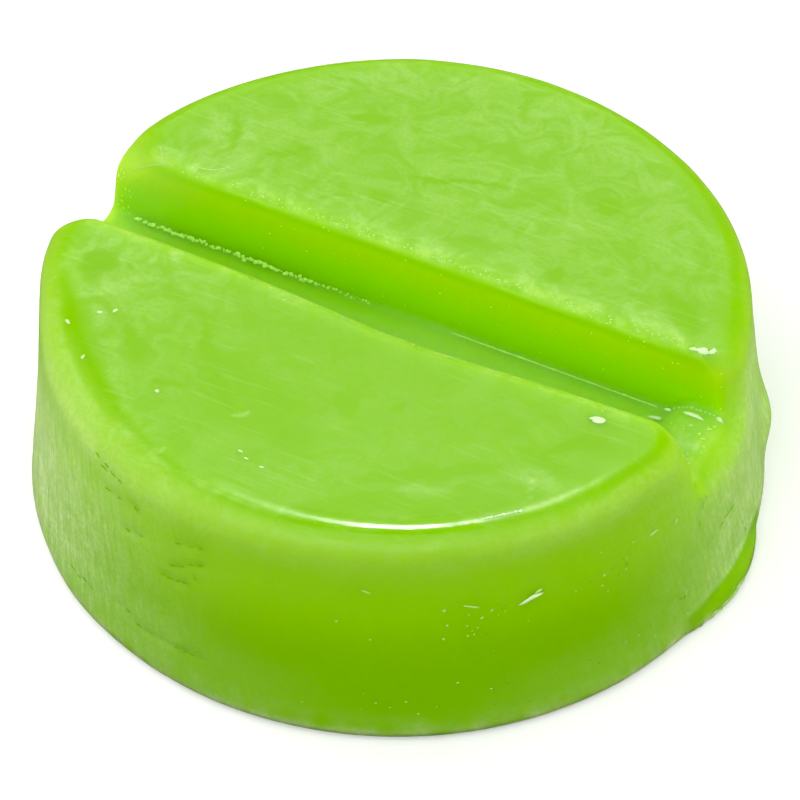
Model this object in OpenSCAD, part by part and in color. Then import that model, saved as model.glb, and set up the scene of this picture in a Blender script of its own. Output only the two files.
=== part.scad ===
// Round cast shaving soap puck with drafted sides and one straight groove across its top.
// X runs along the groove, Y across it, Z up. The origin is the centre of the resting face.

/* [Puck] */
// Diameter at the widest point, just above the base edge
puck_d = 75; // [60:0.5:85]
// Height from the resting face to the two top lands
puck_h = 25.6; // [20:0.1:35]
// Inward lean of the side, so that the casting leaves its mould
side_draft = 6.4; // [0:0.1:10]
// Rounding of the shoulder between the side and the top
shoulder_r = 2.8; // [0.5:0.1:5]
// Rounding of the edge that the puck stands on
base_r = 1.6; // [0.2:0.1:3]

/* [Groove] */
// Width between the groove's walls, level with the top lands
groove_w = 10.3; // [8:0.1:16]
// Depth below the top lands
groove_depth = 8.6; // [4:0.1:12]
// Lean of each groove wall, opening the groove upwards
groove_draft = 4; // [0:0.5:8]
// Distance of the groove's centre line from the puck's centre, to the near side
groove_offset = 0.75; // [0:0.05:5]
// Softening of the top edge of each groove wall
lip_r = 0.9; // [0.2:0.1:2]
// Fillet between each groove wall and the groove floor
floor_r = 0.8; // [0.2:0.1:1.5]

/* [Hidden] */
$fn = 96;
soap_green = "#7fcb28";
overrun = 5;                                  // how far the groove cutter runs past the puck
puck_r = puck_d / 2;
base_centre = [puck_r - base_r, base_r];
shoulder_z = puck_h - shoulder_r;
// The shoulder's centre lies where its circle touches the drafted side line.
shoulder_in = (base_r - shoulder_r - (shoulder_z - base_r) * sin(side_draft)) / cos(side_draft);
shoulder_centre = [base_centre.x + shoulder_in, shoulder_z];
half_top = groove_w / 2;
half_floor = half_top - groove_depth * tan(groove_draft);

// Point on a circle: centre, radius, angle
function on_circle(c, r, a) = c + r * [cos(a), sin(a)];

// Points of an arc between two angles, both ends included
function arc(c, r, from, to, steps = 8) =
    [for (i = [0:steps]) on_circle(c, r, from + (to - from) * i / steps)];

// Half section of the plain puck, from the axis outwards
module half_section() {
    polygon([
        [0, 0],
        [base_centre.x, 0],
        on_circle(base_centre, base_r, side_draft),
        on_circle(shoulder_centre, shoulder_r, side_draft),
        [shoulder_centre.x, puck_h],
        [0, puck_h]
    ]);
    translate(base_centre) circle(base_r);
    translate(shoulder_centre) circle(shoulder_r);
}

// Section of the space that the groove takes out, open side up, its top on the X axis
module groove_section() {
    // Half the turn that an edge makes between a level face and a leaning wall
    turn = 90 - groove_draft;
    lip_in = lip_r * tan(turn / 2);
    floor_in = floor_r * tan(turn / 2);
    lip_centre = [half_top + lip_in, -lip_r];
    floor_centre = [half_floor - floor_in, -groove_depth + floor_r];
    right_side = concat(
        arc(floor_centre, floor_r, -90, -groove_draft),
        arc(lip_centre, lip_r, 180 - groove_draft, 90)
    );
    left_side = [for (i = [len(right_side) - 1:-1:0]) [-right_side[i].x, right_side[i].y]];
    above = [[lip_centre.x, overrun], [-lip_centre.x, overrun]];
    polygon(concat(right_side, above, left_side));
}

module soap_puck() {
    color(soap_green)
    difference() {
        rotate_extrude() half_section();
        translate([-puck_r - overrun, -groove_offset, puck_h])
            rotate([90, 0, 90])
                linear_extrude(puck_d + 2 * overrun) groove_section();
    }
}

soap_puck();
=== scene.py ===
import math
import bpy
import numpy as np
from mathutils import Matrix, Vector


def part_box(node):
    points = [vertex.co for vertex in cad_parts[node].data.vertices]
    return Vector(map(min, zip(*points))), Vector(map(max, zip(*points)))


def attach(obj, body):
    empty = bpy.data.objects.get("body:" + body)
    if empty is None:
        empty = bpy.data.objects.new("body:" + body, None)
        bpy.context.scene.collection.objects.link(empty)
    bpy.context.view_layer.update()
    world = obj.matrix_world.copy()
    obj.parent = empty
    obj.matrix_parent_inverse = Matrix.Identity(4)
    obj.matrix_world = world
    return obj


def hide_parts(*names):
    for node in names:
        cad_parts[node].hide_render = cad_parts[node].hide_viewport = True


# A cast puck of shaving soap. X runs along its groove, Y across it to the far side, Z up.
# Everything down to the studio is in millimetres and degrees; an angle is counted from +X towards +Y.
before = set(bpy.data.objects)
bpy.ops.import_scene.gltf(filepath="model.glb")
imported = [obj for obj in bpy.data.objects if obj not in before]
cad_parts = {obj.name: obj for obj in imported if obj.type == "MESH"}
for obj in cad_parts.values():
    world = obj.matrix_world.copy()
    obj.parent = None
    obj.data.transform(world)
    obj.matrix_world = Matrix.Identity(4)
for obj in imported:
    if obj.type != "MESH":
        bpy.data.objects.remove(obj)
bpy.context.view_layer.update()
mm = 0.001
boxLow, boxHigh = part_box("soap_puck")

# the casting itself
puck = {
    "radius": (boxHigh[0] - boxLow[0]) / 2 / mm,  # widest, just above the base edge
    "height": boxHigh[2] / mm,
    "draft": 6.1,  # inward lean of the side
    "shoulderRadius": 2.5,
    "baseRadius": 1.5,
    "voxel": 0.43,  # spacing of the surface mesh
}
topZ = puck["height"]
print("frame: puck", round(2 * puck["radius"], 1), "mm across and", round(topZ, 1), "mm high")

# stretch of the shoulder that is rounder than the rest
roundShoulder = {"angle": -130, "spread": 42, "extra": 1.6}

# slow waves left by cooling, which fade out just above the base
coolingWaves = {"height": 0.05, "long": 14, "short": 5, "shortShare": 0.35, "fade": (0.3, 2)}

# the channel across the top
groove = {
    "farWall": 4.4,  # y of each wall, level with the top
    "nearWall": -5.2,
    "nearSag": 0.7,  # how far the near wall leans back where it sags
    "sagMiddle": 5,  # x of the sag, and how far it spreads
    "sagSpread": 15,
    "floorHeight": 17.0,
    "wallLean": 4.0,
    "farLip": 1.0,  # rounding of the upper edges
    "nearLip": 1.1,
    "nearLipSag": 1.0,
    "cornerRadius": 0.7,
}

# rough dam that the groove's floor climbs at its +X end
dam = {
    "start": 27.5,
    "slope": 3,  # length of the climb
    "rise": 1.6,
    "tornDepth": 0.10,
    "tornSlope": 2,
    "tornReach": (1.2, 0.3),  # distance from the channel where the tearing starts and is full
    "tornHeight": (22, 20),  # height where it starts and is full
}

# rounding of the four upright corners where the groove leaves the side, low down and near the top
endRounding = {
    "farLeft": (1.6, 2.3),
    "farRight": (3.8, 3.8),
    "nearLeft": (1.0, 3.2),
    "nearRight": (2.4, 4.2),
    "heights": (20.5, 24.0),  # between which the lower rounding turns into the upper one
    "leftToRight": (-6, 6),  # x
    "fromSide": (-4.5, -0.8),  # depth inside the side where the rounding starts and is full
    "nearWall": (2.6, 0.7),  # distance to the near wall where its own rounding takes over
}

# a flat worn on the far land where the groove opens on the left
wornFlat = {
    "place": (-29.2, 4.5, topZ),
    "facing": (-0.456, -0.319, 0.831),
    "edge": 0.6,
    "farOnly": (3, 0),  # y below which the flat sinks out of the way
    "sunk": 15.0,
}

# soft swellings of the side: angle, height, spread of both, how far it stands out
sideSwellings = [
    (26, 8.0, 5, 3.4, 1.0),
    (-166, 23, 11, 6, 0.8),
    (160, 23, 14, 6, 0.6),
    (-150, 12, 12, 6, -0.05),
    (22, 23, 14, 6, -0.25),
    (-122, 1.5, 8, 3, 0.15),
]

# ledge low on the right, left by the mould
mouldLedge = {"angle": 0, "halfWidth": 15, "reach": 1.6, "slope": 0.52}

# slightly ragged lower edge where the casting left its mould
baseTear = {
    "angle": -12,
    "spread": 20,
    "height": 0.8,
    "heightSpread": 1.3,
    "fromSide": (-1.5, -0.5),
    "depth": 0.03,
}

# thin gouges in the side: angle, height, length, tilt
gouges = [
    (-116.0, 22.4, 1.7, -15), (-112.9, 22.1, 2.3, -6), (-112.3, 19.7, 1.3, 8), (-107.3, 20.2, 0.6, -26),
    (-111.0, 16.4, 0.8, -26), (-107.3, 16.8, 2.0, 13), (-103.7, 21.6, 1.2, 0), (-96.7, 16.8, 3.8, 29),
    (-95.0, 15.6, 0.7, -39), (-96.1, 19.6, 2.5, 18), (-121.4, 4.3, 1.4, -2), (-117.8, 4.7, 1.3, -5),
    (-109.2, 6.1, 1.6, -3), (-103.2, 5.4, 2.9, 2), (-97.3, 5.6, 4.7, 3), (-99.0, 14.2, 3.0, 12),
    (-0.3, 10.1, 2.4, 1), (-5.4, 9.8, 0.8, 9), (5.7, 5.0, 1.8, -67), (-8.0, 14.5, 2.0, 70),
]
gougeShape = {
    "width": 0.50,
    "depth": 0.12,
    "radius": 36.0,  # mean radius of the side, where the gouges lie
    "throughSide": 0.7,  # how little the depth under the side counts
    "heights": (2.5, 24),
    "reach": 1.5,
}

# shallow dents in the top: x, y, reach, depth
dents = [
    (-27.6, -11.7, 3.2, 0.14),
    (-28.0, -17.8, 2.6, 0.12),
    (-22.0, -23.5, 3.0, 0.10),
    (-25.0, 12.0, 3.0, 0.10),
    (-17.5, 11.0, 2.2, 0.05),
    (24.0, -20.0, 3.5, 0.08),
    (8.0, 24.0, 5.0, 0.06),
]


# how the random waves below are mixed: how many, how their sizes spread, and what brings them to 1
waveMix = {"count": 14, "spread": (0.7, 1.4), "evening": 1.6}


def smoothStep(a, b, t):
    u = np.clip((t - a) / (b - a), 0, 1)
    return u * u * (3 - 2 * u)


def bell(t, middle, spread):
    return np.exp(-((t - middle) / spread) ** 2)


def angleOf(p):
    return np.degrees(np.arctan2(p[:, 1], p[:, 0]))


def turnFrom(angle, middle):
    # signed turn from one angle to another, -180 to 180
    return (angle - middle + 180) % 360 - 180


def roundMax(a, b, radius):
    # the larger of two distances, with the edge between them rounded
    u = np.maximum(a + radius, 0)
    v = np.maximum(b + radius, 0)
    return np.minimum(np.maximum(a, b), -radius) + np.hypot(u, v)


def waves(points, size, seed):
    # smooth random relief with features of about the given size, from -1 to 1
    rng = np.random.default_rng(seed)
    total = np.zeros(len(points))
    for i in range(waveMix["count"]):
        direction = rng.normal(size=3)
        direction *= 2 * math.pi / size * rng.uniform(*waveMix["spread"]) / np.linalg.norm(direction)
        total += np.sin(points @ direction + rng.uniform(0, 2 * math.pi))
    return total / math.sqrt(waveMix["count"]) / waveMix["evening"]


def sideDistance(p):
    r = np.hypot(p[:, 0], p[:, 1])
    angle = angleOf(p)
    lean = math.radians(puck["draft"])
    radius = puck["radius"] - np.maximum(p[:, 2] - puck["baseRadius"], 0) * math.tan(lean)
    for middle, height, angleSpread, heightSpread, out in sideSwellings:
        swelling = bell(turnFrom(angle, middle), 0, angleSpread) * bell(p[:, 2], height, heightSpread)
        radius = radius + out * swelling
    turn = turnFrom(angle, mouldLedge["angle"]) / mouldLedge["halfWidth"]
    ledge = puck["radius"] + mouldLedge["reach"] * (1 - turn ** 2) - mouldLedge["slope"] * p[:, 2]
    radius = np.maximum(radius, np.where(np.abs(turn) < 1, ledge, 0))
    return (r - radius) * math.cos(lean)


def grooveFloor(x):
    return groove["floorHeight"] + dam["rise"] * smoothStep(dam["start"], dam["start"] + dam["slope"], x)


def grooveSag(x):
    return bell(x, groove["sagMiddle"], groove["sagSpread"])


def grooveDistance(p):
    # negative inside the open channel
    x, y, z = p.T
    lean = math.tan(math.radians(groove["wallLean"]))
    depth = topZ - z
    far = y - (groove["farWall"] - depth * lean)
    near = groove["nearWall"] - groove["nearSag"] * grooveSag(x) + depth * lean - y
    channel = roundMax(far, grooveFloor(x) - z, groove["cornerRadius"])
    return roundMax(channel, near, groove["cornerRadius"])


def wornCorner(p):
    flat = (p - np.array(wornFlat["place"])) @ np.array(wornFlat["facing"])
    return flat - wornFlat["sunk"] * smoothStep(*wornFlat["farOnly"], p[:, 1])


def lipRadius(p, side):
    x, y, z = p.T
    middle = (groove["farWall"] + groove["nearWall"]) / 2
    nearLip = groove["nearLip"] + groove["nearLipSag"] * grooveSag(x)
    lip = np.where(y > middle, groove["farLip"], nearLip)
    up = smoothStep(*endRounding["heights"], z)
    right = smoothStep(*endRounding["leftToRight"], x)
    ends = {}
    for corner in ("farLeft", "farRight", "nearLeft", "nearRight"):
        low, high = endRounding[corner]
        ends[corner] = low + (high - low) * up
    farEnd = ends["farLeft"] + (ends["farRight"] - ends["farLeft"]) * right
    nearEnd = ends["nearLeft"] + (ends["nearRight"] - ends["nearLeft"]) * right
    atEnd = smoothStep(*endRounding["fromSide"], side)
    start, full = endRounding["nearWall"]
    atNearWall = smoothStep(groove["nearWall"] + start, groove["nearWall"] + full, y)
    return lip + (farEnd + (nearEnd - farEnd) * atNearWall - lip) * atEnd


def gougeDepth(p):
    depth = np.zeros(len(p))
    for angle, height, length, tilt in gouges:
        turn, climb = math.radians(angle), math.radians(tilt)
        outward = np.array([math.cos(turn), math.sin(turn), 0])
        across = np.array([-math.sin(turn), math.cos(turn), 0])
        along = across * math.cos(climb) + np.array([0, 0, math.sin(climb)])
        away = p - outward * gougeShape["radius"] - np.array([0, 0, height])
        away = away - (away @ outward)[:, None] * outward * gougeShape["throughSide"]
        reach = np.clip(away @ along, -length / 2, length / 2)
        away = np.linalg.norm(away - reach[:, None] * along, axis=1)
        depth += gougeShape["depth"] * bell(away, 0, gougeShape["width"])
    return depth


def tornDam(p, channel):
    x, z = p[:, 0], p[:, 2]
    share = smoothStep(dam["start"], dam["start"] + dam["tornSlope"], x)
    share = share * smoothStep(*dam["tornReach"], channel) * smoothStep(*dam["tornHeight"], z)
    return dam["tornDepth"] * share * (waves(p, 1.8, 8) + 0.5 * waves(p, 1.1, 9))


def tornBase(p, side):
    share = bell(turnFrom(angleOf(p), baseTear["angle"]), 0, baseTear["spread"])
    share = share * bell(p[:, 2], baseTear["height"], baseTear["heightSpread"])
    lumps = waves(p, 3.2, 21) + 0.5 * waves(p, 1.6, 22)
    return baseTear["depth"] * share * smoothStep(*baseTear["fromSide"], side) * lumps


def puckDistance(p):
    # negative inside the soap; the real surface is where this is zero
    z = p[:, 2]
    side = sideDistance(p)
    slow = waves(p, coolingWaves["long"], 3) + coolingWaves["shortShare"] * waves(p, coolingWaves["short"], 4)
    relief = coolingWaves["height"] * slow * smoothStep(*coolingWaves["fade"], z)
    turn = turnFrom(angleOf(p), roundShoulder["angle"])
    shoulder = puck["shoulderRadius"] + roundShoulder["extra"] * bell(turn, 0, roundShoulder["spread"])
    body = roundMax(side, z - topZ, shoulder)
    body = roundMax(body, wornCorner(p), wornFlat["edge"])
    body = roundMax(body, -z, puck["baseRadius"]) - relief
    for x, y, reach, depth in dents:
        away = np.linalg.norm(p - np.array([x, y, topZ]), axis=1)
        body = body + depth * bell(away, 0, reach)
    lowest, highest = gougeShape["heights"]
    near = np.nonzero((np.abs(side) < gougeShape["reach"]) & (z > lowest) & (z < highest))[0]
    body[near] += gougeDepth(p[near])
    channel = grooveDistance(p)
    return roundMax(body, -channel, lipRadius(p, side)) + tornDam(p, channel) + tornBase(p, side)


def surfaceNormal(distance, p, step=0.02):
    grad = np.zeros_like(p)
    for axis in range(3):
        shift = np.zeros(3)
        shift[axis] = step
        grad[:, axis] = (distance(p + shift) - distance(p - shift)) / (2 * step)
    return grad


def pullToSurface(distance, p, rounds, flattest=0.05):
    for i in range(rounds):
        grad = surfaceNormal(distance, p)
        size = np.maximum((grad ** 2).sum(axis=1), flattest)
        p = p - grad * (distance(p) / size)[:, None]
    return p


def relaxed(mesh, p, rounds, pull=0.6):
    # evens out the mesh, before it is pulled back to the surface
    edges = np.zeros(len(mesh.edges) * 2, dtype=np.int32)
    mesh.edges.foreach_get("vertices", edges)
    a, b = edges.reshape(-1, 2).T
    count = np.bincount(np.concatenate([a, b]), minlength=len(p))[:, None]
    for i in range(rounds):
        total = np.zeros_like(p)
        np.add.at(total, a, p[b])
        np.add.at(total, b, p[a])
        p = p * (1 - pull) + total / count * pull
    return p


# pale film left by drying, which also paints highlights and reflections, as a share from 0 to 1; first the
# two lands
landFilmAndHighlight = {
    "far": 0.10,
    "near": 0.048,
    "farBack": (0.055, 18, 32),  # more film, and the y where it starts and is full
    "nearLeft": (0.070, -8, -24),  # the same with x
    "unevenness": 0.16,
    "bareRim": (1.2, 4.2),  # how far in from the edge the rim stays bare
    "rimWander": (1.1, 0.4),  # how far that edge wanders, slowly and quickly
    "rimKeeps": 0.25,
    "smearEdge": (1.9, 0.5),
    "smearWander": (0.55, 0.20),
    "paler": 0.8,  # strength of the smears with more film, and with less
    "barer": 1.2,
    "paintedRimHighlight": 0.20,  # painted highlight: thin pale line along the rim, where the rim highlight runs out
    "paintedRimHighlightIn": (2.2, 0.2, 0.3),  # how far in it lies, wanders and spreads
    "patchyLine": (0.6, 0.6),  # mean and how much it varies
    "patchyLips": (0.75, 0.5),
    "farLip": (0.13, 0.9, 1.4),  # share, distance from the channel, spread
    "farLipY": (-2, 3.5),
    "nearLip": (0.117, 0.6, 1.1),
    "nearLipX": (-20, -6),
    "nearLipY": (0, -3),
}

# where the painted highlight line along the rim shows: angles where it starts, is full, fades and is gone
paintedRimHighlights = [(-120, -112, -84, -72), (-50, -46, -30, -24)]

# smears on the two lands: middle, half length, half width, turn, how much film more or less
topSmears = [
    ((-24.5, 11.4), 2.6, 0.55, -71, -0.14),
    ((-18.5, 11.7), 2.1, 0.50, 32, -0.13),
    ((-25.1, 11.4), 3.6, 2.4, -39, 0.10),
    ((-13.5, 20.0), 2.2, 0.6, 12, -0.09),
    ((-5.8, 26.6), 1.4, 0.4, -52, -0.08),
    ((-0.4, 29.2), 2.4, 0.4, -61, -0.08),
    ((13.9, 19.5), 1.6, 0.9, -12, -0.10),
    ((-0.9, 15.8), 4.8, 0.40, 18, -0.13),
    ((-7.5, 10.2), 1.5, 0.8, -6, -0.07),
    ((13.3, 7.4), 1.3, 0.9, -57, -0.10),
    ((26.9, 8.4), 3.4, 1.3, -45, -0.10),
    ((5.7, 8.8), 3.2, 0.9, 14, -0.05),
    ((-27.7, -11.3), 2.0, 1.5, 80, -0.10),
    ((-24.6, -13.4), 3.4, 0.8, 45, 0.09),
    ((-18.9, -19.2), 2.8, 1.1, -43, -0.09),
    ((-10.9, -17.8), 6.3, 0.7, -48, -0.08),
    ((-18.7, -11.5), 1.6, 0.9, -18, -0.06),
    ((-23.6, -21.5), 5.0, 1.9, -50, -0.09),
    ((-19.0, -26.2), 4.0, 1.4, -36, -0.09),
    ((-12.7, -22.7), 1.8, 0.5, 4, -0.06),
    ((10.9, -28.0), 5.6, 1.2, 34, -0.09),
    ((20.0, -22.5), 5.7, 1.4, 38, -0.09),
    ((14.6, -21.7), 6.6, 0.8, 33, -0.06),
    ((23.1, -15.7), 2.8, 0.8, -21, -0.09),
    ((24.9, -12.4), 2.8, 0.8, 48, -0.07),
    ((2.9, -17.2), 1.8, 0.7, -39, -0.06),
    ((8.2, -15.5), 0.9, 0.6, -27, -0.06),
    ((-22.3, -7.4), 1.5, 0.8, 45, 0.16),
    ((-10.0, -31.2), 1.1, 0.4, 35, 0.22),
    ((-5.1, -22.8), 0.8, 0.35, 34, 0.20),
    ((2.7, -26.8), 0.8, 0.30, 15, 0.08),
    ((-3.5, -21.5), 7.0, 3.4, -12, -0.028),
    ((-14.9, -31.1), 1.0, 0.35, -40, 0.22),
    ((23.6, -17.8), 2.4, 0.8, -2, 0.10),
    ((16.2, -23.8), 3.2, 0.8, 16, 0.10),
    ((23.9, -19.1), 1.3, 0.3, -58, 0.16),
]


def smearShare(p):
    slow, quick = landFilmAndHighlight["smearWander"]
    wander = slow * np.stack([waves(p, 4.5, 41), waves(p, 4.5, 42)], axis=1)
    wander += quick * np.stack([waves(p, 1.6, 43), waves(p, 1.6, 44)], axis=1)
    share = np.zeros(len(p))
    for middle, halfLength, halfWidth, turn, more in topSmears:
        c, s = math.cos(math.radians(turn)), math.sin(math.radians(turn))
        away = p[:, :2] + wander - np.array(middle)
        along = (away[:, 0] * c + away[:, 1] * s) / halfLength
        across = (away[:, 1] * c - away[:, 0] * s) / halfWidth
        strength = landFilmAndHighlight["paler"] if more > 0 else landFilmAndHighlight["barer"]
        share += strength * more * smoothStep(*landFilmAndHighlight["smearEdge"], along ** 2 + across ** 2)
    return share


def landFilmAndHighlightShare(p, side, channel):
    x, y = p[:, 0], p[:, 1]
    slow, quick = landFilmAndHighlight["rimWander"]
    inwards = -side + slow * waves(p, 7, 45) + quick * waves(p, 2.2, 46)
    rim = landFilmAndHighlight["rimKeeps"] + (1 - landFilmAndHighlight["rimKeeps"]) * smoothStep(*landFilmAndHighlight["bareRim"], inwards)
    more, start, full = landFilmAndHighlight["farBack"]
    far = landFilmAndHighlight["far"] + more * smoothStep(start, full, y)
    more, start, full = landFilmAndHighlight["nearLeft"]
    near = landFilmAndHighlight["near"] + more * smoothStep(start, full, x)
    share = np.where(y > 0, far, near) * rim * (1 + landFilmAndHighlight["unevenness"] * waves(p, 8, 47)) + smearShare(p)

    angle = angleOf(p)
    # painted highlight: thin pale line along the rim
    paintedHighlightLine = np.zeros(len(p))
    for start, full, fading, gone in paintedRimHighlights:
        paintedHighlightLine += smoothStep(start, full, angle) * smoothStep(gone, fading, angle)
    depth, wander, spread = landFilmAndHighlight["paintedRimHighlightIn"]
    mean, varied = landFilmAndHighlight["patchyLine"]
    paintedHighlightLine = paintedHighlightLine * bell(side, -depth + wander * waves(p, 5, 50), spread) * (mean + varied * waves(p, 2, 51))

    more, away, spread = landFilmAndHighlight["farLip"]
    lips = more * bell(channel, away, spread) * smoothStep(*landFilmAndHighlight["farLipY"], y)
    more, away, spread = landFilmAndHighlight["nearLip"]
    nearLip = more * bell(channel, away, spread) * smoothStep(*landFilmAndHighlight["nearLipX"], x)
    lips = lips + nearLip * smoothStep(*landFilmAndHighlight["nearLipY"], y)
    mean, varied = landFilmAndHighlight["patchyLips"]
    return share + landFilmAndHighlight["paintedRimHighlight"] * paintedHighlightLine + lips * (mean + varied * waves(p, 1.8, 48))


# film on the side, with painted reflections on the shoulder and low down
sideFilmAndSheen = {
    "all": 0.01,
    "band": (0.025, 19, 4),  # share, height of its middle, spread
    # painted reflection: pale band of the low front light across the shoulder
    "shoulder": (0.085, topZ - 2.6, 1.9),
    "foot": (0.135, 5.0, 1.5),  # painted reflection of the floor, low on the side: share, heights where it starts and is full
    # painted reflection of the floor along the lower edge
    "edge": (0.40, 2.4, 0.9),
    "patchyFoot": (0.7, 0.6),  # mean and how much it varies
    "clearFoot": (1, 7),  # heights between which a patch with a clear foot comes in
    "ledge": (3.4, 2.9),  # the mould ledge is bare below this height
    "ledgeEnds": (1.0, 0.8),  # as shares of its half width
    "ledgeBare": 0.95,
    "ledgeEdge": (0.35, -8, 6, 1.6, 1.0),  # rubbed part of it: share, angle, spread, heights
    "patchyLedge": (0.6, 1.0),
    "mouthBare": 0.9,  # round the groove's right mouth
    "mouthReach": 3.0,
    "mouthHeights": (26, 23),
    "mouthX": (20, 30),
}

# patches of film on the side, those at the left and right edges also painting the pale grazing sheen there:
# share, angle, spread, heights where it starts and is full, clear foot
sidePatches = [
    (0.58, -148, 26, 21.5, 14, False),
    (0.28, -127, 24, 25, 21, True),
    (0.50, 14, 20, 25, 20, False),
    (0.12, -6, 13, 25, 20, False),
    (0.11, -120, 32, 20, 23, False),
    (0.08, -95, 20, 12, 5, False),
    (0.09, -28, 20, 21, 23.5, False),
    (0.07, -33, 16, 11, 5, False),
]


def sideFilmAndSheenShare(p, channel):
    x, z = p[:, 0], p[:, 2]
    angle = angleOf(p)
    share = np.full(len(p), sideFilmAndSheen["all"])
    for more, middle, spread, start, full, clearFoot in sidePatches:
        foot = smoothStep(*sideFilmAndSheen["clearFoot"], z) if clearFoot else 1
        share += more * bell(turnFrom(angle, middle), 0, spread) * smoothStep(start, full, z) * foot
    for band in ("band", "shoulder"):
        more, height, spread = sideFilmAndSheen[band]
        share += more * bell(z, height, spread)
    mean, varied = sideFilmAndSheen["patchyFoot"]
    for rim in ("foot", "edge"):
        more, start, full = sideFilmAndSheen[rim]
        share += more * smoothStep(start, full, z) * (mean + varied * waves(p, 3, 49))

    turn = np.abs(turnFrom(angle, mouldLedge["angle"])) / mouldLedge["halfWidth"]
    ledge = smoothStep(*sideFilmAndSheen["ledgeEnds"], turn) * smoothStep(*sideFilmAndSheen["ledge"], z)
    more, middle, spread, start, full = sideFilmAndSheen["ledgeEdge"]
    mean, varied = sideFilmAndSheen["patchyLedge"]
    rubbed = more * bell(angle, middle, spread) * smoothStep(start, full, z)
    rubbed = rubbed * (mean + varied * waves(p, 1.5, 52))
    share = share * (1 - sideFilmAndSheen["ledgeBare"] * ledge) + rubbed * ledge
    mouth = bell(channel, 0, sideFilmAndSheen["mouthReach"]) * smoothStep(*sideFilmAndSheen["mouthHeights"], z)
    return share * (1 - sideFilmAndSheen["mouthBare"] * mouth * smoothStep(*sideFilmAndSheen["mouthX"], x))


# film in the groove; its left end is painted light
grooveFilmAndPaintedLight = {
    "upperEdge": (0.05, topZ - 1.0, topZ - 0.3),  # share, heights where it starts and is full
    "nearUpper": (0.12, topZ - 4, topZ - 1),  # the same on the near wall
    "nearY": (0, -3),
    "leftEnd": (0.075, -22, -32),  # painted light, paler where the left end of the groove is lit: share, x where it starts and is full
    "floor": 0.20,
    "floorRight": (0.65, -8, 4),  # part of the floor's film that only comes in here
    "floorNear": (0.7, 1, -4),  # extra towards the near wall, y
    "floorFar": 0.7,
    "floorReach": (1.2, 0.2),  # distance to the floor
}


def grooveFilmAndPaintedLightShare(p):
    x, y, z = p.T
    more, start, full = grooveFilmAndPaintedLight["upperEdge"]
    share = more * smoothStep(start, full, z)
    more, start, full = grooveFilmAndPaintedLight["leftEnd"]
    share += more * smoothStep(start, full, x)
    more, start, full = grooveFilmAndPaintedLight["nearUpper"]
    share += more * smoothStep(start, full, z) * smoothStep(*grooveFilmAndPaintedLight["nearY"], y)
    right, start, full = grooveFilmAndPaintedLight["floorRight"]
    floor = grooveFilmAndPaintedLight["floor"] * (1 - right + right * smoothStep(start, full, x))
    more, start, full = grooveFilmAndPaintedLight["floorNear"]
    floor = floor * (grooveFilmAndPaintedLight["floorFar"] + more * smoothStep(start, full, y))
    return share + floor * smoothStep(*grooveFilmAndPaintedLight["floorReach"], np.abs(z - grooveFloor(x)))


# where one film takes over from another: heights, and distance from the channel
filmChange = {"toLand": (topZ - 0.9, topZ - 0.25), "toGroove": (0.9, 0.2)}


# film for every point, with the painted highlights and reflections
def filmAndSheenShare(p):
    z = p[:, 2]
    channel = grooveDistance(p)
    land = landFilmAndHighlightShare(p, sideDistance(p), channel)
    side = sideFilmAndSheenShare(p, channel)
    onLand = smoothStep(*filmChange["toLand"], z)
    inGroove = smoothStep(*filmChange["toGroove"], channel) * (1 - onLand)
    share = side + (land - side) * onLand
    return np.clip(share + (grooveFilmAndPaintedLightShare(p) - share) * inGroove, 0, 1)


# where the soap's own look changes, and where light is painted into its colour
traits = {
    "streakTwist": 0.0058,  # turn of the streaks for each mm up the side
    "streakStretch": 0.09,  # how much shorter they are made for the noise, upwards
    "streaksBelow": (topZ - 1.5, topZ - 7.0),
    "streaksClear": (0.0, 1.5),  # distance from the channel
    "smoothFront": (0.85, -62, 40),  # fewer streaks: share, angle, spread
    "cloudyBelow": 0.3,  # contrast of the clouds on the side; it is 1 on the lands
    "cloudyFrom": (topZ - 2, topZ - 0.3),
    # painted light through the walls of the groove and on the upper side
    "wallPaintedWarmLight": 0.8,
    "wallY": (-4, -2),
    "wallReach": (3.0, 0.2),
    "wallBelow": (topZ - 0.8, topZ - 2.2),
    "upperPaintedWarmLight": (0.5, 20.0, 5.8),  # share, height, spread
    "upperBelow": (topZ - 0.1, topZ - 0.8),
    "groovePaintedDeepLight": (23.5, 19.5),  # heights of the painted bounce light low in the groove
    "grooveReach": (1.2, 0.1),
    # painted light: a lighter middle of the side
    "sidePaintedDeepLight": (0.7, 18.0, 5.0),
    "sidePaintedDeepLightBelow": (25, 21.5),
    "rubbedRim": (-85, -77, -50, -48.5),  # angles where it starts, is full, fades and is gone
    "rubbedIn": (1.7, 1.3),  # how far in it lies and spreads
    "rubbedAbove": (topZ - 1.6, topZ - 0.7),
    "dullLip": (2.2, 0.4, 1.6),  # strength, distance from the channel, spread
    "dullY": (-2, 2),
}


def streakPlace(p):
    # coordinates pulled long up the side and slightly twisted, so that noise turns into streaks
    turn = traits["streakTwist"] * p[:, 2]
    c, s = np.cos(turn), np.sin(turn)
    up = p[:, 2] * traits["streakStretch"]
    return np.stack([p[:, 0] * c - p[:, 1] * s, p[:, 0] * s + p[:, 1] * c, up], axis=1)


def uprightShare(p, channel):
    less, middle, spread = traits["smoothFront"]
    share = smoothStep(*traits["streaksBelow"], p[:, 2]) * smoothStep(*traits["streaksClear"], channel)
    return share * (1 - less * bell(turnFrom(angleOf(p), middle), 0, spread))


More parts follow.
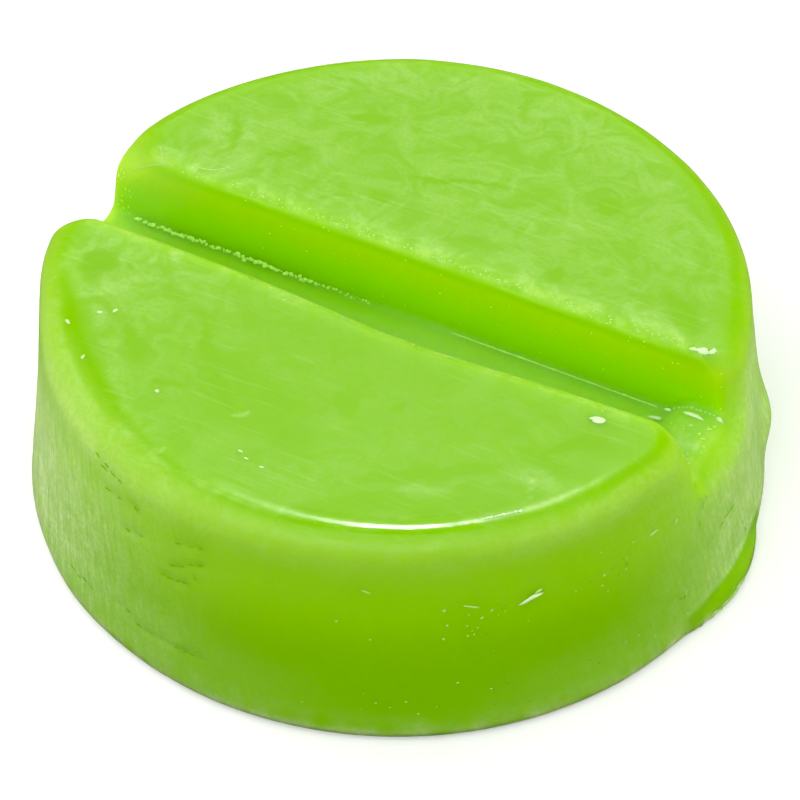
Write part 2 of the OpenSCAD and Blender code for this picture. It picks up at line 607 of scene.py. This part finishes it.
# painted light: the walls of the groove and the upper side coloured lighter
def paintedWarmLightShare(p, channel):
    y, z = p[:, 1], p[:, 2]
    walls = traits["wallPaintedWarmLight"] * smoothStep(*traits["wallY"], y) * smoothStep(*traits["wallReach"], channel)
    walls = walls * smoothStep(*traits["wallBelow"], z)
    more, height, spread = traits["upperPaintedWarmLight"]
    upper = more * bell(z, height, spread) * smoothStep(*traits["upperBelow"], z)
    return np.maximum(walls, upper)


# painted light: bounce light low in the groove, and a lighter middle of the side
def paintedDeepLightShare(p, channel):
    z = p[:, 2]
    more, height, spread = traits["sidePaintedDeepLight"]
    side = more * bell(z, height, spread) * smoothStep(*traits["sidePaintedDeepLightBelow"], z)
    low = smoothStep(*traits["grooveReach"], channel) * smoothStep(*traits["groovePaintedDeepLight"], z)
    return np.maximum(low, side)


def polishShare(p, channel):
    # above zero where the rim is rubbed smooth, below zero where the far lip is dull
    angle = angleOf(p)
    depth, spread = traits["rubbedIn"]
    start, full, fading, gone = traits["rubbedRim"]
    rim = bell(sideDistance(p), -depth, spread) * smoothStep(*traits["rubbedAbove"], p[:, 2])
    rim = rim * smoothStep(start, full, angle) * smoothStep(gone, fading, angle)
    strength, away, spread = traits["dullLip"]
    return rim - strength * bell(channel, away, spread) * smoothStep(*traits["dullY"], p[:, 1])


def addTraits(mesh, p):
    # what the material needs to know at every point, as attributes of the mesh
    channel = grooveDistance(p)
    below = traits["cloudyBelow"]
    streak = mesh.attributes.new("streak", "FLOAT_VECTOR", "POINT")
    streak.data.foreach_set("vector", (streakPlace(p) * mm).ravel())
    shares = {
        "filmAndSheen": filmAndSheenShare(p),
        "upright": uprightShare(p, channel),
        "cloudy": below + (1 - below) * smoothStep(*traits["cloudyFrom"], p[:, 2]),
        "paintedWarmLight": paintedWarmLightShare(p, channel),
        "paintedDeepLight": paintedDeepLightShare(p, channel),
        "polish": polishShare(p, channel),
    }
    for name, share in shares.items():
        mesh.attributes.new(name, "FLOAT", "POINT").data.foreach_set("value", share)
    print("traits of the surface:", "streak", *shares)


def makePuck():
    # the CAD solid remeshed evenly, with its points pulled to the worn shape
    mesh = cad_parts["soap_puck"].data.copy()
    piece = bpy.data.objects.new("castPuck", mesh)
    bpy.context.collection.objects.link(piece)
    modifier = piece.modifiers.new("remesh", "REMESH")
    modifier.mode = "VOXEL"
    modifier.voxel_size = puck["voxel"] * mm
    modifier.use_smooth_shade = True
    bpy.context.view_layer.update()
    dense = bpy.data.meshes.new_from_object(piece.evaluated_get(bpy.context.evaluated_depsgraph_get()))
    piece.modifiers.clear()
    piece.data = dense
    p = np.zeros(len(dense.vertices) * 3)
    dense.vertices.foreach_get("co", p)
    p = pullToSurface(puckDistance, p.reshape(-1, 3) / mm, 3)
    for i in range(2):
        p = relaxed(dense, p, 2)
        p = pullToSurface(puckDistance, p, 2)
    dense.vertices.foreach_set("co", (p * mm).ravel())
    addTraits(dense, p)
    dense.materials.clear()
    dense.polygons.foreach_set("use_smooth", np.ones(len(dense.polygons), dtype=bool))
    dense.update()
    print("cast puck:", len(dense.vertices), "points", len(dense.polygons), "faces")
    return piece


# colour and finish; a range gives the noise values that map to the two results after them
soap = {
    "bare": (0.244, 0.545, 0.003, 1),
    # pale film, which also paints highlights and reflections
    "paleFilmAndSheen": (0.66, 0.88, 0.36, 1),
    "paintedWarmLight": (0.392, 0.634, 0.012, 1),  # painted light: lighter, yellower colour on the walls of the groove and the upper side, where light comes through
    "paintedDeepLight": (0.315, 0.680, 0.003, 1),  # painted light: saturated green of bounce light low in the groove, and a lighter middle of the side
    "scatter": (1.15, 1.0, 0.15),  # how far each colour spreads inside, as shares of depth
    "depth": 5.5,
    "gloss": 0.30,  # roughness of bare soap
    "filmGloss": 0.40,
    "fullFilm": 0.4,  # share of film that is already as dull as film gets
    "polished": 0.15,  # roughness of the rubbed front rim
    "sheen": 0.28,  # strength of the mirror-like part
    "scuffDepth": 0.08,
    "scuffStrength": 0.5,
    "scuffScale": 900,
    "scuffShare": 0.5,
    "cloudScale": 230,
    "cloudTwist": 1.8,
    "cloudRange": (0.38, 0.62, 0.40, 1.6),
    "grainScale": 2300,
    "grainRange": (0.3, 0.7, 0.75, 1.25),
    "streakScale": 1900,
    "streakTwist": 0.4,
    "streakRange": (0.36, 0.66, 0.70, 1.32),
    "scratchTurns": (0.35, -0.75, 1.9),  # directions of the fine scratches, in radians
    "scratchShift": 0.31,
    "scratchStretch": 0.07,
    "scratchScale": 1500,
    "scratchRange": (0.64, 0.74, 0, 1),
    "scratchFilm": 0.10,
}


def soapMaterial():
    material = bpy.data.materials.new("limeSoap")
    material.use_nodes = True
    nodes = material.node_tree.nodes
    links = material.node_tree.links
    shader = nodes["Principled BSDF"]
    place = nodes.new("ShaderNodeTexCoord")

    def noise(scale, detail, vector=None, distortion=0.0):
        node = nodes.new("ShaderNodeTexNoise")
        node.inputs["Scale"].default_value = scale
        node.inputs["Detail"].default_value = detail
        node.inputs["Distortion"].default_value = distortion
        links.new(vector or place.outputs["Object"], node.inputs["Vector"])
        return node.outputs["Fac"]

    def attribute(name, output="Fac"):
        node = nodes.new("ShaderNodeAttribute")
        node.attribute_name = name
        return node.outputs[output]

    def ramp(value, low, high, outLow, outHigh):
        node = nodes.new("ShaderNodeMapRange")
        for name, number in (("From Min", low), ("From Max", high), ("To Min", outLow), ("To Max", outHigh)):
            node.inputs[name].default_value = number
        links.new(value, node.inputs["Value"])
        return node.outputs["Result"]

    def maths(operation, *values):
        node = nodes.new("ShaderNodeMath")
        node.operation = operation
        for socket, value in zip(node.inputs, values):
            if isinstance(value, (int, float)):
                socket.default_value = value
            else:
                links.new(value, socket)
        return node.outputs["Value"]

    def contrast(value, share):
        # fades a factor back to 1 where the share is low
        return maths("MULTIPLY_ADD", maths("SUBTRACT", value, 1.0), share, 1.0)

    def mixed(share, a, b):
        node = nodes.new("ShaderNodeMix")
        node.data_type = "RGBA"
        links.new(share, node.inputs["Factor"])
        for socket, value in ((node.inputs["A"], a), (node.inputs["B"], b)):
            if isinstance(value, tuple):
                socket.default_value = value
            else:
                links.new(value, socket)
        return node.outputs["Result"]

    # film, with painted highlights and reflections, broken up by cloudy patches, rubbed grain, and streaks
    # that only show on the side
    upright = attribute("upright")
    cloudy = attribute("cloudy")
    streaks = noise(soap["streakScale"], 6, attribute("streak", "Vector"), soap["streakTwist"])
    cloud = ramp(noise(soap["cloudScale"], 8, None, soap["cloudTwist"]), *soap["cloudRange"])
    grain = ramp(noise(soap["grainScale"], 3), *soap["grainRange"])
    streak = ramp(streaks, *soap["streakRange"])
    clouded = maths("MULTIPLY", attribute("filmAndSheen"), contrast(cloud, cloudy))
    share = maths("MULTIPLY", clouded, maths("MULTIPLY", grain, contrast(streak, upright)))

    scratches = None
    for i, turn in enumerate(soap["scratchTurns"]):
        slant = nodes.new("ShaderNodeMapping")
        slant.inputs["Rotation"].default_value = (0, 0, turn)
        slant.inputs["Scale"].default_value = (soap["scratchStretch"], 1, 1)
        slant.inputs["Location"].default_value = (i * soap["scratchShift"], i * soap["scratchShift"], 0)
        links.new(place.outputs["Object"], slant.inputs["Vector"])
        line = ramp(noise(soap["scratchScale"], 2, slant.outputs["Vector"]), *soap["scratchRange"])
        scratches = line if scratches is None else maths("MAXIMUM", scratches, line)
    onLands = maths("SUBTRACT", cloudy, traits["cloudyBelow"])
    share = maths("MULTIPLY_ADD", maths("MULTIPLY", scratches, onLands), soap["scratchFilm"], share)

    # painted light: lighter colour through the walls and upper side, then the saturated green of bounce light
    # low in the groove and on the middle of the side
    under = mixed(attribute("paintedWarmLight"), soap["bare"], soap["paintedWarmLight"])
    under = mixed(attribute("paintedDeepLight"), under, soap["paintedDeepLight"])
    links.new(mixed(share, under, soap["paleFilmAndSheen"]), shader.inputs["Base Color"])

    dull = ramp(share, 0, soap["fullFilm"], soap["gloss"], soap["filmGloss"])
    polish = maths("MULTIPLY", maths("SUBTRACT", soap["polished"], dull), attribute("polish"))
    links.new(maths("ADD", dull, polish), shader.inputs["Roughness"])

    scuffs = maths("MULTIPLY", noise(soap["scuffScale"], 4), soap["scuffShare"])
    bump = nodes.new("ShaderNodeBump")
    bump.inputs["Strength"].default_value = soap["scuffStrength"]
    bump.inputs["Distance"].default_value = soap["scuffDepth"] * mm
    links.new(maths("ADD", maths("MULTIPLY", streaks, upright), scuffs), bump.inputs["Height"])
    links.new(bump.outputs["Normal"], shader.inputs["Normal"])

    shader.inputs["Specular IOR Level"].default_value = soap["sheen"]
    shader.inputs["Subsurface Weight"].default_value = 1.0
    shader.inputs["Subsurface Radius"].default_value = soap["scatter"]
    shader.inputs["Subsurface Scale"].default_value = soap["depth"] * mm
    print("material:", material.name, "with", len(nodes), "nodes")
    return material


castPuck = makePuck()
castPuck.data.materials.append(soapMaterial())
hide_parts("soap_puck")
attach(castPuck, "root")


# crumbs and flakes that cling to the surface, some of them painted glints and painted shade; each is: place,
# direction, half length, half width, height
crumbShape = {
    "rings": (0.42, 0.76, 1.0),
    "wobble": 0.28,  # how uneven the outline is
    "buried": 0.15,  # how far the edge goes under the soap, as a share of the height
    "root": 0.12,  # depth of the point underneath
    "peaks": (0.8, 1.1),  # uneven heights of the middle, and of the rings
    "lumps": (0.7, 1.15),
    "sideRadius": 36.5,  # places on the side start here, and are pulled to the soap
    "sheen": 0.25,
}


def onTop(x, y):
    return (x, y, topZ)


def onSide(angle, z):
    a = math.radians(angle)
    return (crumbShape["sideRadius"] * math.cos(a), crumbShape["sideRadius"] * math.sin(a), z)


def alongSide(angle, tilt):
    a, t = math.radians(angle), math.radians(tilt)
    return (-math.sin(a) * math.cos(t), math.cos(a) * math.cos(t), math.sin(t))


def alongTop(turn):
    return (math.cos(math.radians(turn)), math.sin(math.radians(turn)), 0)


def unit(vectors):
    return vectors / np.linalg.norm(vectors, axis=1)[:, None]


def crumbFaces(count, around, ringCount):
    # each crumb is a fan, then its rings, then a fan down to the point underneath
    stride = 1 + ringCount * around
    faces = []
    for i in range(count):
        base = i * stride
        bottom = count * stride + i
        last = base + 1 + (ringCount - 1) * around
        for k in range(around):
            n = (k + 1) % around
            faces.append((base, base + 1 + k, base + 1 + n))
            for r in range(ringCount - 1):
                inner = base + 1 + r * around
                outer = inner + around
                faces.append((inner + k, outer + k, outer + n, inner + n))
            faces.append((last + n, last + k, bottom))
    return faces


def addCrumbs(name, crumbs, material, seed, around):
    # every crumb follows the soap under it, and is a little buried at its edge
    rng = np.random.default_rng(seed)
    count = len(crumbs)
    middle = pullToSurface(puckDistance, np.array([c[0] for c in crumbs], dtype=float), 3)
    normal = unit(surfaceNormal(puckDistance, middle))
    along = np.array([c[1] for c in crumbs], dtype=float)
    along = unit(along - normal * (along * normal).sum(axis=1)[:, None])
    across = np.cross(normal, along)
    size = np.array([c[2:5] for c in crumbs], dtype=float)
    halfLength, halfWidth, height = size[:, 0:1], size[:, 1:2], size[:, 2:3]
    turn = np.arange(around) / around * 2 * math.pi
    wobble = 1 + rng.uniform(-crumbShape["wobble"], crumbShape["wobble"], (count, around))
    points = [middle[:, None, :]]
    heights = [height * rng.uniform(*crumbShape["peaks"], (count, 1))]
    for ring in crumbShape["rings"]:
        u = halfLength * ring * wobble * np.cos(turn)
        v = halfWidth * ring * wobble * np.sin(turn)
        outwards = along[:, None, :] * u[:, :, None] + across[:, None, :] * v[:, :, None]
        points.append(middle[:, None, :] + outwards)
        lift = math.sqrt(1 - ring ** 2) * rng.uniform(*crumbShape["lumps"], (count, around))
        if ring == 1.0:
            lift = np.full((count, around), -crumbShape["buried"])
        heights.append(height * lift)
    points = np.concatenate(points, axis=1).reshape(-1, 3)
    heights = np.concatenate(heights, axis=1).reshape(-1, 1)
    points = pullToSurface(puckDistance, points, 2)
    points = points + unit(surfaceNormal(puckDistance, points)) * heights
    roots = middle - normal * crumbShape["root"]
    faces = crumbFaces(count, around, len(crumbShape["rings"]))
    mesh = bpy.data.meshes.new(name)
    mesh.from_pydata((np.concatenate([points, roots]) * mm).tolist(), [], faces)
    mesh.polygons.foreach_set("use_smooth", np.ones(len(faces), dtype=bool))
    mesh.materials.append(material)
    piece = bpy.data.objects.new(name, mesh)
    bpy.context.collection.objects.link(piece)
    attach(piece, "root")
    print(name + ":", count, "crumbs")


# pebbly line of pale soap in the far corner of the groove, thinning out to the right
bead = {
    "stretch": (-32.0, -5.0, 0.33),  # x from, to, spacing
    "cornerY": 3.75,
    "size": (0.13, 0.29),
    "thinning": (-16, -6),  # x where it starts to get smaller, and is half the size
    "line": (4.5, 27.0, 0.55),  # thin line further on
    "damX": (28.2, 33.2),  # crumbs on the dam
    "damHeights": (17.2, 17.6, 17.9, 18.1, 18.25, 18.35, 18.4, 18.45, 18.5, 18.5, 18.5, 18.5),
}


def beadCrumbs():
    rng = np.random.default_rng(5)
    corner, floor = bead["cornerY"], groove["floorHeight"]
    crumbs = []
    for x in np.arange(*bead["stretch"]):
        size = rng.uniform(*bead["size"]) * (1 - 0.5 * float(smoothStep(*bead["thinning"], x)))
        spot = (x + rng.normal(0, 0.08), corner + rng.normal(0, 0.10), floor + 0.15 + rng.normal(0, 0.10))
        crumbs.append((spot, alongTop(rng.uniform(0, 180)), size * rng.uniform(1, 1.5), size, size * 0.75))
    for x in np.arange(*bead["line"]):
        crumbs.append(((x, corner, floor + 0.12), (1, 0, 0), 0.42, rng.uniform(0.07, 0.11), 0.07))
    for x, z in zip(np.linspace(*bead["damX"], len(bead["damHeights"])), bead["damHeights"]):
        crumbs.append(((x, corner + 0.15, z), (1, 0, 0), rng.uniform(0.10, 0.24), 0.08, 0.08))
    return crumbs


# loose crumbs in the groove: how many, and the stretch of x and z or of x and y where they lie
grooveScatter = {
    "onFarWall": (46, (-20, 34), (17.8, 24.8)),
    "atLeftEnd": (26, (-34.2, 0.7), (17, 23)),  # x here is a middle and a spread
    "onDam": (34, (28.5, 34), (-4, 3.4)),
    "damTop": 18.4,
}


def looseGrooveCrumbs():
    rng = np.random.default_rng(6)
    crumbs = []
    count, across, up = grooveScatter["onFarWall"]
    for i in range(count):
        spot = (rng.uniform(*across), 4.0, rng.uniform(*up))
        size = rng.uniform(0.035, 0.075)
        crumbs.append((spot, alongTop(rng.uniform(0, 180)), size * 1.4, size, size * 0.8))
    count, across, up = grooveScatter["atLeftEnd"]
    middle, spread = across
    for i in range(count):
        spot = (middle + rng.normal(0, spread), 3.9, rng.uniform(*up))
        size = rng.uniform(0.05, 0.12)
        crumbs.append((spot, (0, 0, 1), size * 1.5, size, size * 0.6))
    count, across, away = grooveScatter["onDam"]
    for i in range(count):
        spot = (rng.uniform(*across), rng.uniform(*away), grooveScatter["damTop"])
        size = rng.uniform(0.06, 0.2)
        crumbs.append((spot, alongTop(rng.uniform(0, 180)), size * 1.6, size * 0.8, size * 0.5))
    return crumbs


# fine crumbs beside the lips: how many, stretch of x, y and its spread, direction, smallest and largest
lipScatter = {
    "far": (150, (-29, 31), (4.9, 0.35), 20, (0.03, 0.09)),
    "near": (60, (-14, 27), (-6.3, 0.4), 10, (0.04, 0.10)),
}


def lipCrumbs():
    rng = np.random.default_rng(7)
    crumbs = []
    for count, stretch, (y, spread), turn, sizes in lipScatter.values():
        for i in range(count):
            x = rng.uniform(*stretch)
            size = rng.uniform(*sizes)
            spot = onTop(x, y + rng.normal(0, spread))
            crumbs.append((spot, alongTop(rng.normal(turn, 40)), size * 1.8, size, size * 0.5))
    for t in np.linspace(0, 1, 9):  # crease at the worn flat, and its pale lower line
        crumbs.append((onTop(-30.6 + 1.4 * t, 6.5 - 2.0 * t), alongTop(-55), 0.26, 0.07, 0.06))
        crumbs.append(((-33.0 + 3.6 * t, 4.3, 23.4 + 2.1 * t), (0.86, 0, 0.5), 0.30, 0.06, 0.05))
    for t in np.linspace(0, 1, 8):  # crescent beside it
        crumbs.append((onTop(-25.4 + 2.4 * t, 5.6 + 1.2 * t * t), alongTop(40 * t), 0.28, 0.07, 0.06))
    return crumbs


def topFlakesAndGlints():
    crumbs = [
        (onTop(25.6, -8.1), alongTop(15), 0.85, 0.42, 0.16),
        (onTop(30.6, 5.0), alongTop(10), 0.75, 0.40, 0.16),
        (onTop(31.5, 5.4), alongTop(60), 0.45, 0.30, 0.16),
        (onTop(29.7, 4.8), alongTop(10), 0.55, 0.18, 0.10),
        # painted glints: pale flakes where the near land sparkles
        (onTop(-23.8, -17.2), alongTop(30), 0.30, 0.18, 0.14),
        (onTop(-22.6, -16.3), alongTop(70), 0.34, 0.14, 0.14),
        (onTop(-26.3, -19.5), alongTop(-30), 0.45, 0.16, 0.12),
        (onTop(-22.4, -23.1), alongTop(80), 0.30, 0.14, 0.12),
        (onTop(-13.5, -24.0), alongTop(0), 0.22, 0.18, 0.16),
        (onTop(-2.6, -27.3), alongTop(0), 0.30, 0.10, 0.08),
        (onTop(-1.6, -27.9), alongTop(0), 0.26, 0.10, 0.08),
        (onTop(0.2, -28.2), alongTop(10), 0.26, 0.09, 0.08),
        ((27.1, 2.4, 17.3), (1, 0.2, 0), 0.75, 0.22, 0.16),  # these four lie in the groove
        ((27.9, 3.6, 17.4), (1, 0.2, 0), 0.45, 0.16, 0.14),
        ((30.9, 2.9, 18.6), (1, -0.1, 0), 1.25, 0.28, 0.20),
        ((33.4, 3.6, 18.6), (1, -0.2, 0), 0.50, 0.20, 0.16),
    ]
    rng = np.random.default_rng(11)
    for t in np.linspace(0, 1, 10):  # row of small ones at the front right
        spot = onTop(21.6 + 2.6 * t, -24.6 + 2.6 * t)
        crumbs.append((spot, alongTop(45), 0.24, rng.uniform(0.08, 0.16), 0.08))
    return crumbs


# chips on the side, whose pale colour also paints glints: angle, height, tilt, half length, half width,
# height of the chip
sideChipsAndGlints = [
    (-42.1, 16.7, 19, 1.25, 0.30, 0.16),
    (-41.0, 17.3, 25, 0.60, 0.20, 0.14),
    (-67.3, 19.6, -24, 0.55, 0.10, 0.08),
    (-51.6, 17.2, -18, 0.80, 0.12, 0.10),
    (-20.0, 17.7, 9, 0.60, 0.16, 0.10),
    (-14.7, 16.9, 60, 0.35, 0.14, 0.10),
    (-13.2, 6.7, 88, 0.45, 0.09, 0.08),
    (11.0, 4.8, 60, 0.50, 0.20, 0.14),
    (-55.8, 17.1, 0, 0.20, 0.16, 0.10),
    (-55.3, 15.2, 0, 0.18, 0.14, 0.10),
    (-71.9, 15.6, 0, 0.14, 0.12, 0.08),
    (-55.9, 13.5, 0, 0.16, 0.14, 0.08),
    (-66.8, 13.6, 0, 0.14, 0.10, 0.08),
]
ledgeChips = {"angles": (-9, 1), "count": 14, "radius": 39, "heights": (0.5, 1.5)}  # rubbed edge of the ledge


def sideFlakes():
    crumbs = []
    for angle, z, tilt, halfLength, halfWidth, height in sideChipsAndGlints:
        crumbs.append((onSide(angle, z), alongSide(angle, tilt), halfLength, halfWidth, height))
    rng = np.random.default_rng(31)
    for angle in np.linspace(*ledgeChips["angles"], ledgeChips["count"]):
        a = math.radians(angle)
        z = rng.uniform(*ledgeChips["heights"])
        spot = (ledgeChips["radius"] * math.cos(a), ledgeChips["radius"] * math.sin(a), z)
        along = alongSide(angle, rng.uniform(-5, 12))
        crumbs.append((spot, along, rng.uniform(0.3, 0.8), rng.uniform(0.05, 0.10), 0.05))
    return crumbs


# small shaded blobs along the bottom of every gouge
nick = {
    "spacing": 0.85,
    "skipped": 0.22,  # share of them left out
    "wander": (0.08, 0.06),  # along the gouge and up
    "halfLength": (0.30, 0.58),
    "halfWidth": (0.10, 0.19),
    "height": 0.03,
}


def nickShadows():
    rng = np.random.default_rng(27)
    alongWander, upWander = nick["wander"]
    crumbs = []
    for angle, height, length, tilt in gouges:
        count = max(1, round(length / nick["spacing"]))
        climb = math.radians(tilt)
        for t in np.linspace(-0.5, 0.5, count) if count > 1 else [0]:
            if rng.random() < nick["skipped"]:
                continue
            reach = t * length + rng.normal(0, alongWander)
            turn = angle + math.degrees(reach * math.cos(climb) / gougeShape["radius"])
            spot = onSide(turn, height + reach * math.sin(climb) + rng.normal(0, upWander))
            size = (rng.uniform(*nick["halfLength"]), rng.uniform(*nick["halfWidth"]), nick["height"])
            crumbs.append((spot, alongSide(turn, tilt), *size))
    return crumbs


# clusters of specks on the side, painted glints and painted shade: angle, height, spread of both, how many
speckClusters = [
    (-50, 14.5, 3.5, 1.8, 26),
    (-27, 16.5, 3.5, 1.6, 20),
    (-22, 5.5, 5, 2.2, 18),
    (-60, 5.0, 14, 1.6, 20),
]


def sideSpecks():
    rng = np.random.default_rng(12)
    crumbs = []
    for middle, height, angleSpread, heightSpread, count in speckClusters:
        for i in range(count):
            size = rng.uniform(0.05, 0.12)
            angle = rng.normal(middle, angleSpread)
            spot = onSide(angle, rng.normal(height, heightSpread))
            along = alongSide(angle, rng.uniform(-20, 60))
            crumbs.append((spot, along, size * rng.uniform(1, 2.2), size, size * 0.5))
    return crumbs


def crumbMaterial(name, colour, roughness):
    # thin dry soap lets no light through, so this one is plain
    material = bpy.data.materials.new(name)
    material.use_nodes = True
    shader = material.node_tree.nodes["Principled BSDF"]
    shader.inputs["Base Color"].default_value = (*colour, 1)
    shader.inputs["Roughness"].default_value = roughness
    shader.inputs["Specular IOR Level"].default_value = crumbShape["sheen"]
    return material


paleCrumbs = crumbMaterial("paleCrumbs", (0.52, 0.86, 0.13), 0.40)
dryFlakesAndGlints = crumbMaterial("dryFlakesAndGlints", (0.68, 0.88, 0.46), 0.45)
softCrumbsAndGlints = crumbMaterial("softCrumbsAndGlints", (0.46, 0.73, 0.18), 0.45)
shadedSoap = crumbMaterial("shadedSoap", (0.22, 0.54, 0.003), 0.5)

# the first flake on the side is the large dry one, and every second speck is painted shade, the others
# painted glints
largeFlake, *smallChips = sideFlakes()
specks = sideSpecks()
addCrumbs("grooveBead", beadCrumbs(), paleCrumbs, 21, 9)
addCrumbs("grooveCrumbs", looseGrooveCrumbs(), paleCrumbs, 22, 7)
addCrumbs("lipCrumbs", lipCrumbs(), softCrumbsAndGlints, 23, 7)
addCrumbs("topFlakesAndGlints", topFlakesAndGlints(), dryFlakesAndGlints, 24, 12)
addCrumbs("sideFlakes", [largeFlake], dryFlakesAndGlints, 25, 12)
addCrumbs("sideChipsAndGlints", smallChips, softCrumbsAndGlints, 29, 8)
addCrumbs("nickShadows", nickShadows(), shadedSoap, 27, 8)
addCrumbs("paintedGlintSpecks", specks[::2], softCrumbsAndGlints, 26, 7)
addCrumbs("paintedShadeSpecks", specks[1::2], shadedSoap, 30, 7)


# the studio, in metres
table = {"halfSide": 3.0, "colour": (1, 1, 1, 1), "roughness": 0.9, "sheen": 0.1, "glow": 0.08}


def makeFloor():
    mesh = bpy.data.meshes.new("floor")
    s = table["halfSide"]
    mesh.from_pydata([(-s, -s, 0), (s, -s, 0), (s, s, 0), (-s, s, 0)], [], [(0, 1, 2, 3)])
    floor = bpy.data.objects.new("floor", mesh)
    bpy.context.collection.objects.link(floor)
    material = bpy.data.materials.new("paleFloor")
    material.use_nodes = True
    shader = material.node_tree.nodes["Principled BSDF"]
    shader.inputs["Base Color"].default_value = table["colour"]
    shader.inputs["Roughness"].default_value = table["roughness"]
    shader.inputs["Specular IOR Level"].default_value = table["sheen"]
    shader.inputs["Emission Color"].default_value = table["colour"]
    shader.inputs["Emission Strength"].default_value = table["glow"]
    mesh.materials.append(material)
    floor.visible_diffuse = False  # it throws no light back on the soap
    floor.visible_glossy = False
    print("table:", 2 * s, "m wide")


def direction(azimuth, elevation):
    # azimuth 0 stands in front of the puck, on the -Y side, and turns towards +X
    a, e = math.radians(azimuth), math.radians(elevation)
    return Vector((math.sin(a) * math.cos(e), -math.cos(a) * math.cos(e), math.sin(e)))


def addPanel(name, azimuth, elevation, distance, width, height, radiance):
    light = bpy.data.lights.new(name, "AREA")
    light.shape = "RECTANGLE"
    light.size = width
    light.size_y = height
    light.energy = radiance * math.pi * width * height
    lamp = bpy.data.objects.new(name, light)
    bpy.context.collection.objects.link(lamp)
    away = direction(azimuth, elevation)
    lamp.location = away * distance
    lamp.rotation_euler = away.to_track_quat("Z", "Y").to_euler()
    return lamp


# name, azimuth, elevation, distance, width, height, brightness
softboxes = [
    ("leftSoftbox", 297, 36, 0.8, 1.00, 0.70, 1.30),
    ("aboveCamera", 27, 56, 0.8, 0.95, 0.70, 1.80),
    ("frontFill", 5, 30, 0.8, 1.10, 0.40, 1.9),
    ("rightFront", 72, 14, 0.8, 0.60, 0.40, 1.1),
    ("rightLow", 117, 17, 0.8, 0.80, 0.46, 2.4),
    ("rightBack", 162, 17, 0.8, 0.70, 0.46, 3.4),
    ("leftBack", 252, 17, 0.8, 0.75, 0.46, 3.4),
    ("backFill", 207, 34, 0.8, 0.58, 0.34, 1.1),
    ("rimLight", 207, 71, 0.6, 0.09, 0.12, 80),
]
reflectionOnly = ("rimLight",)  # it only draws the bright line along the rim
noReflection = ("leftBack", "rightBack", "rightLow")  # keeps the rim dull at both ends


def makeLights():
    for softbox in softboxes:
        lamp = addPanel(*softbox)
        lamp.visible_diffuse = lamp.name not in reflectionOnly
        lamp.visible_glossy = lamp.name not in noReflection
    print("lights:", len(softboxes))


# even light from all round: strength above and below the horizon, and how soft the change is
surround = {"above": 0.05, "below": 0.12, "horizon": 0.05}


def makeWorld():
    world = bpy.data.worlds.new("studio")
    bpy.context.scene.world = world
    world.use_nodes = True
    nodes = world.node_tree.nodes
    links = world.node_tree.links
    place = nodes.new("ShaderNodeTexCoord")
    split = nodes.new("ShaderNodeSeparateXYZ")
    level = nodes.new("ShaderNodeMapRange")
    level.inputs["From Min"].default_value = -surround["horizon"]
    level.inputs["From Max"].default_value = surround["horizon"]
    level.inputs["To Min"].default_value = surround["below"]
    level.inputs["To Max"].default_value = surround["above"]
    links.new(place.outputs["Generated"], split.inputs["Vector"])
    links.new(split.outputs["Z"], level.inputs["Value"])
    links.new(level.outputs["Result"], nodes["Background"].inputs["Strength"])
    nodes["Background"].inputs["Color"].default_value = (1, 1, 1, 1)
    print("surround:", surround["above"], "above,", surround["below"], "below")


view = {
    "azimuth": 27.33,
    "elevation": 45.51,
    "distance": 0.4035,
    "aim": (1.0, -1.5, 10.8),  # in millimetres
    "lens": 180.5,
    "sensor": 36,
    "clipStart": 0.01,
}
tone = {"transform": "Standard", "blackLevel": (0.027, 0.027, 0.012)}


def makeCamera():
    data = bpy.data.cameras.new("camera")
    data.lens = view["lens"]
    data.sensor_width = view["sensor"]
    data.clip_start = view["clipStart"]
    camera = bpy.data.objects.new("camera", data)
    bpy.context.collection.objects.link(camera)
    away = direction(view["azimuth"], view["elevation"])
    camera.location = Vector(view["aim"]) * mm + away * view["distance"]
    camera.rotation_euler = away.to_track_quat("Z", "Y").to_euler()
    bpy.context.scene.camera = camera
    print("camera:", view["azimuth"], "degrees round,", view["elevation"], "degrees up")


def setTone():
    settings = bpy.context.scene.view_settings
    settings.view_transform = tone["transform"]
    settings.use_curve_mapping = True
    settings.curve_mapping.black_level = tone["blackLevel"]
    settings.curve_mapping.update()


makeFloor()
makeWorld()
makeLights()
makeCamera()
setTone()
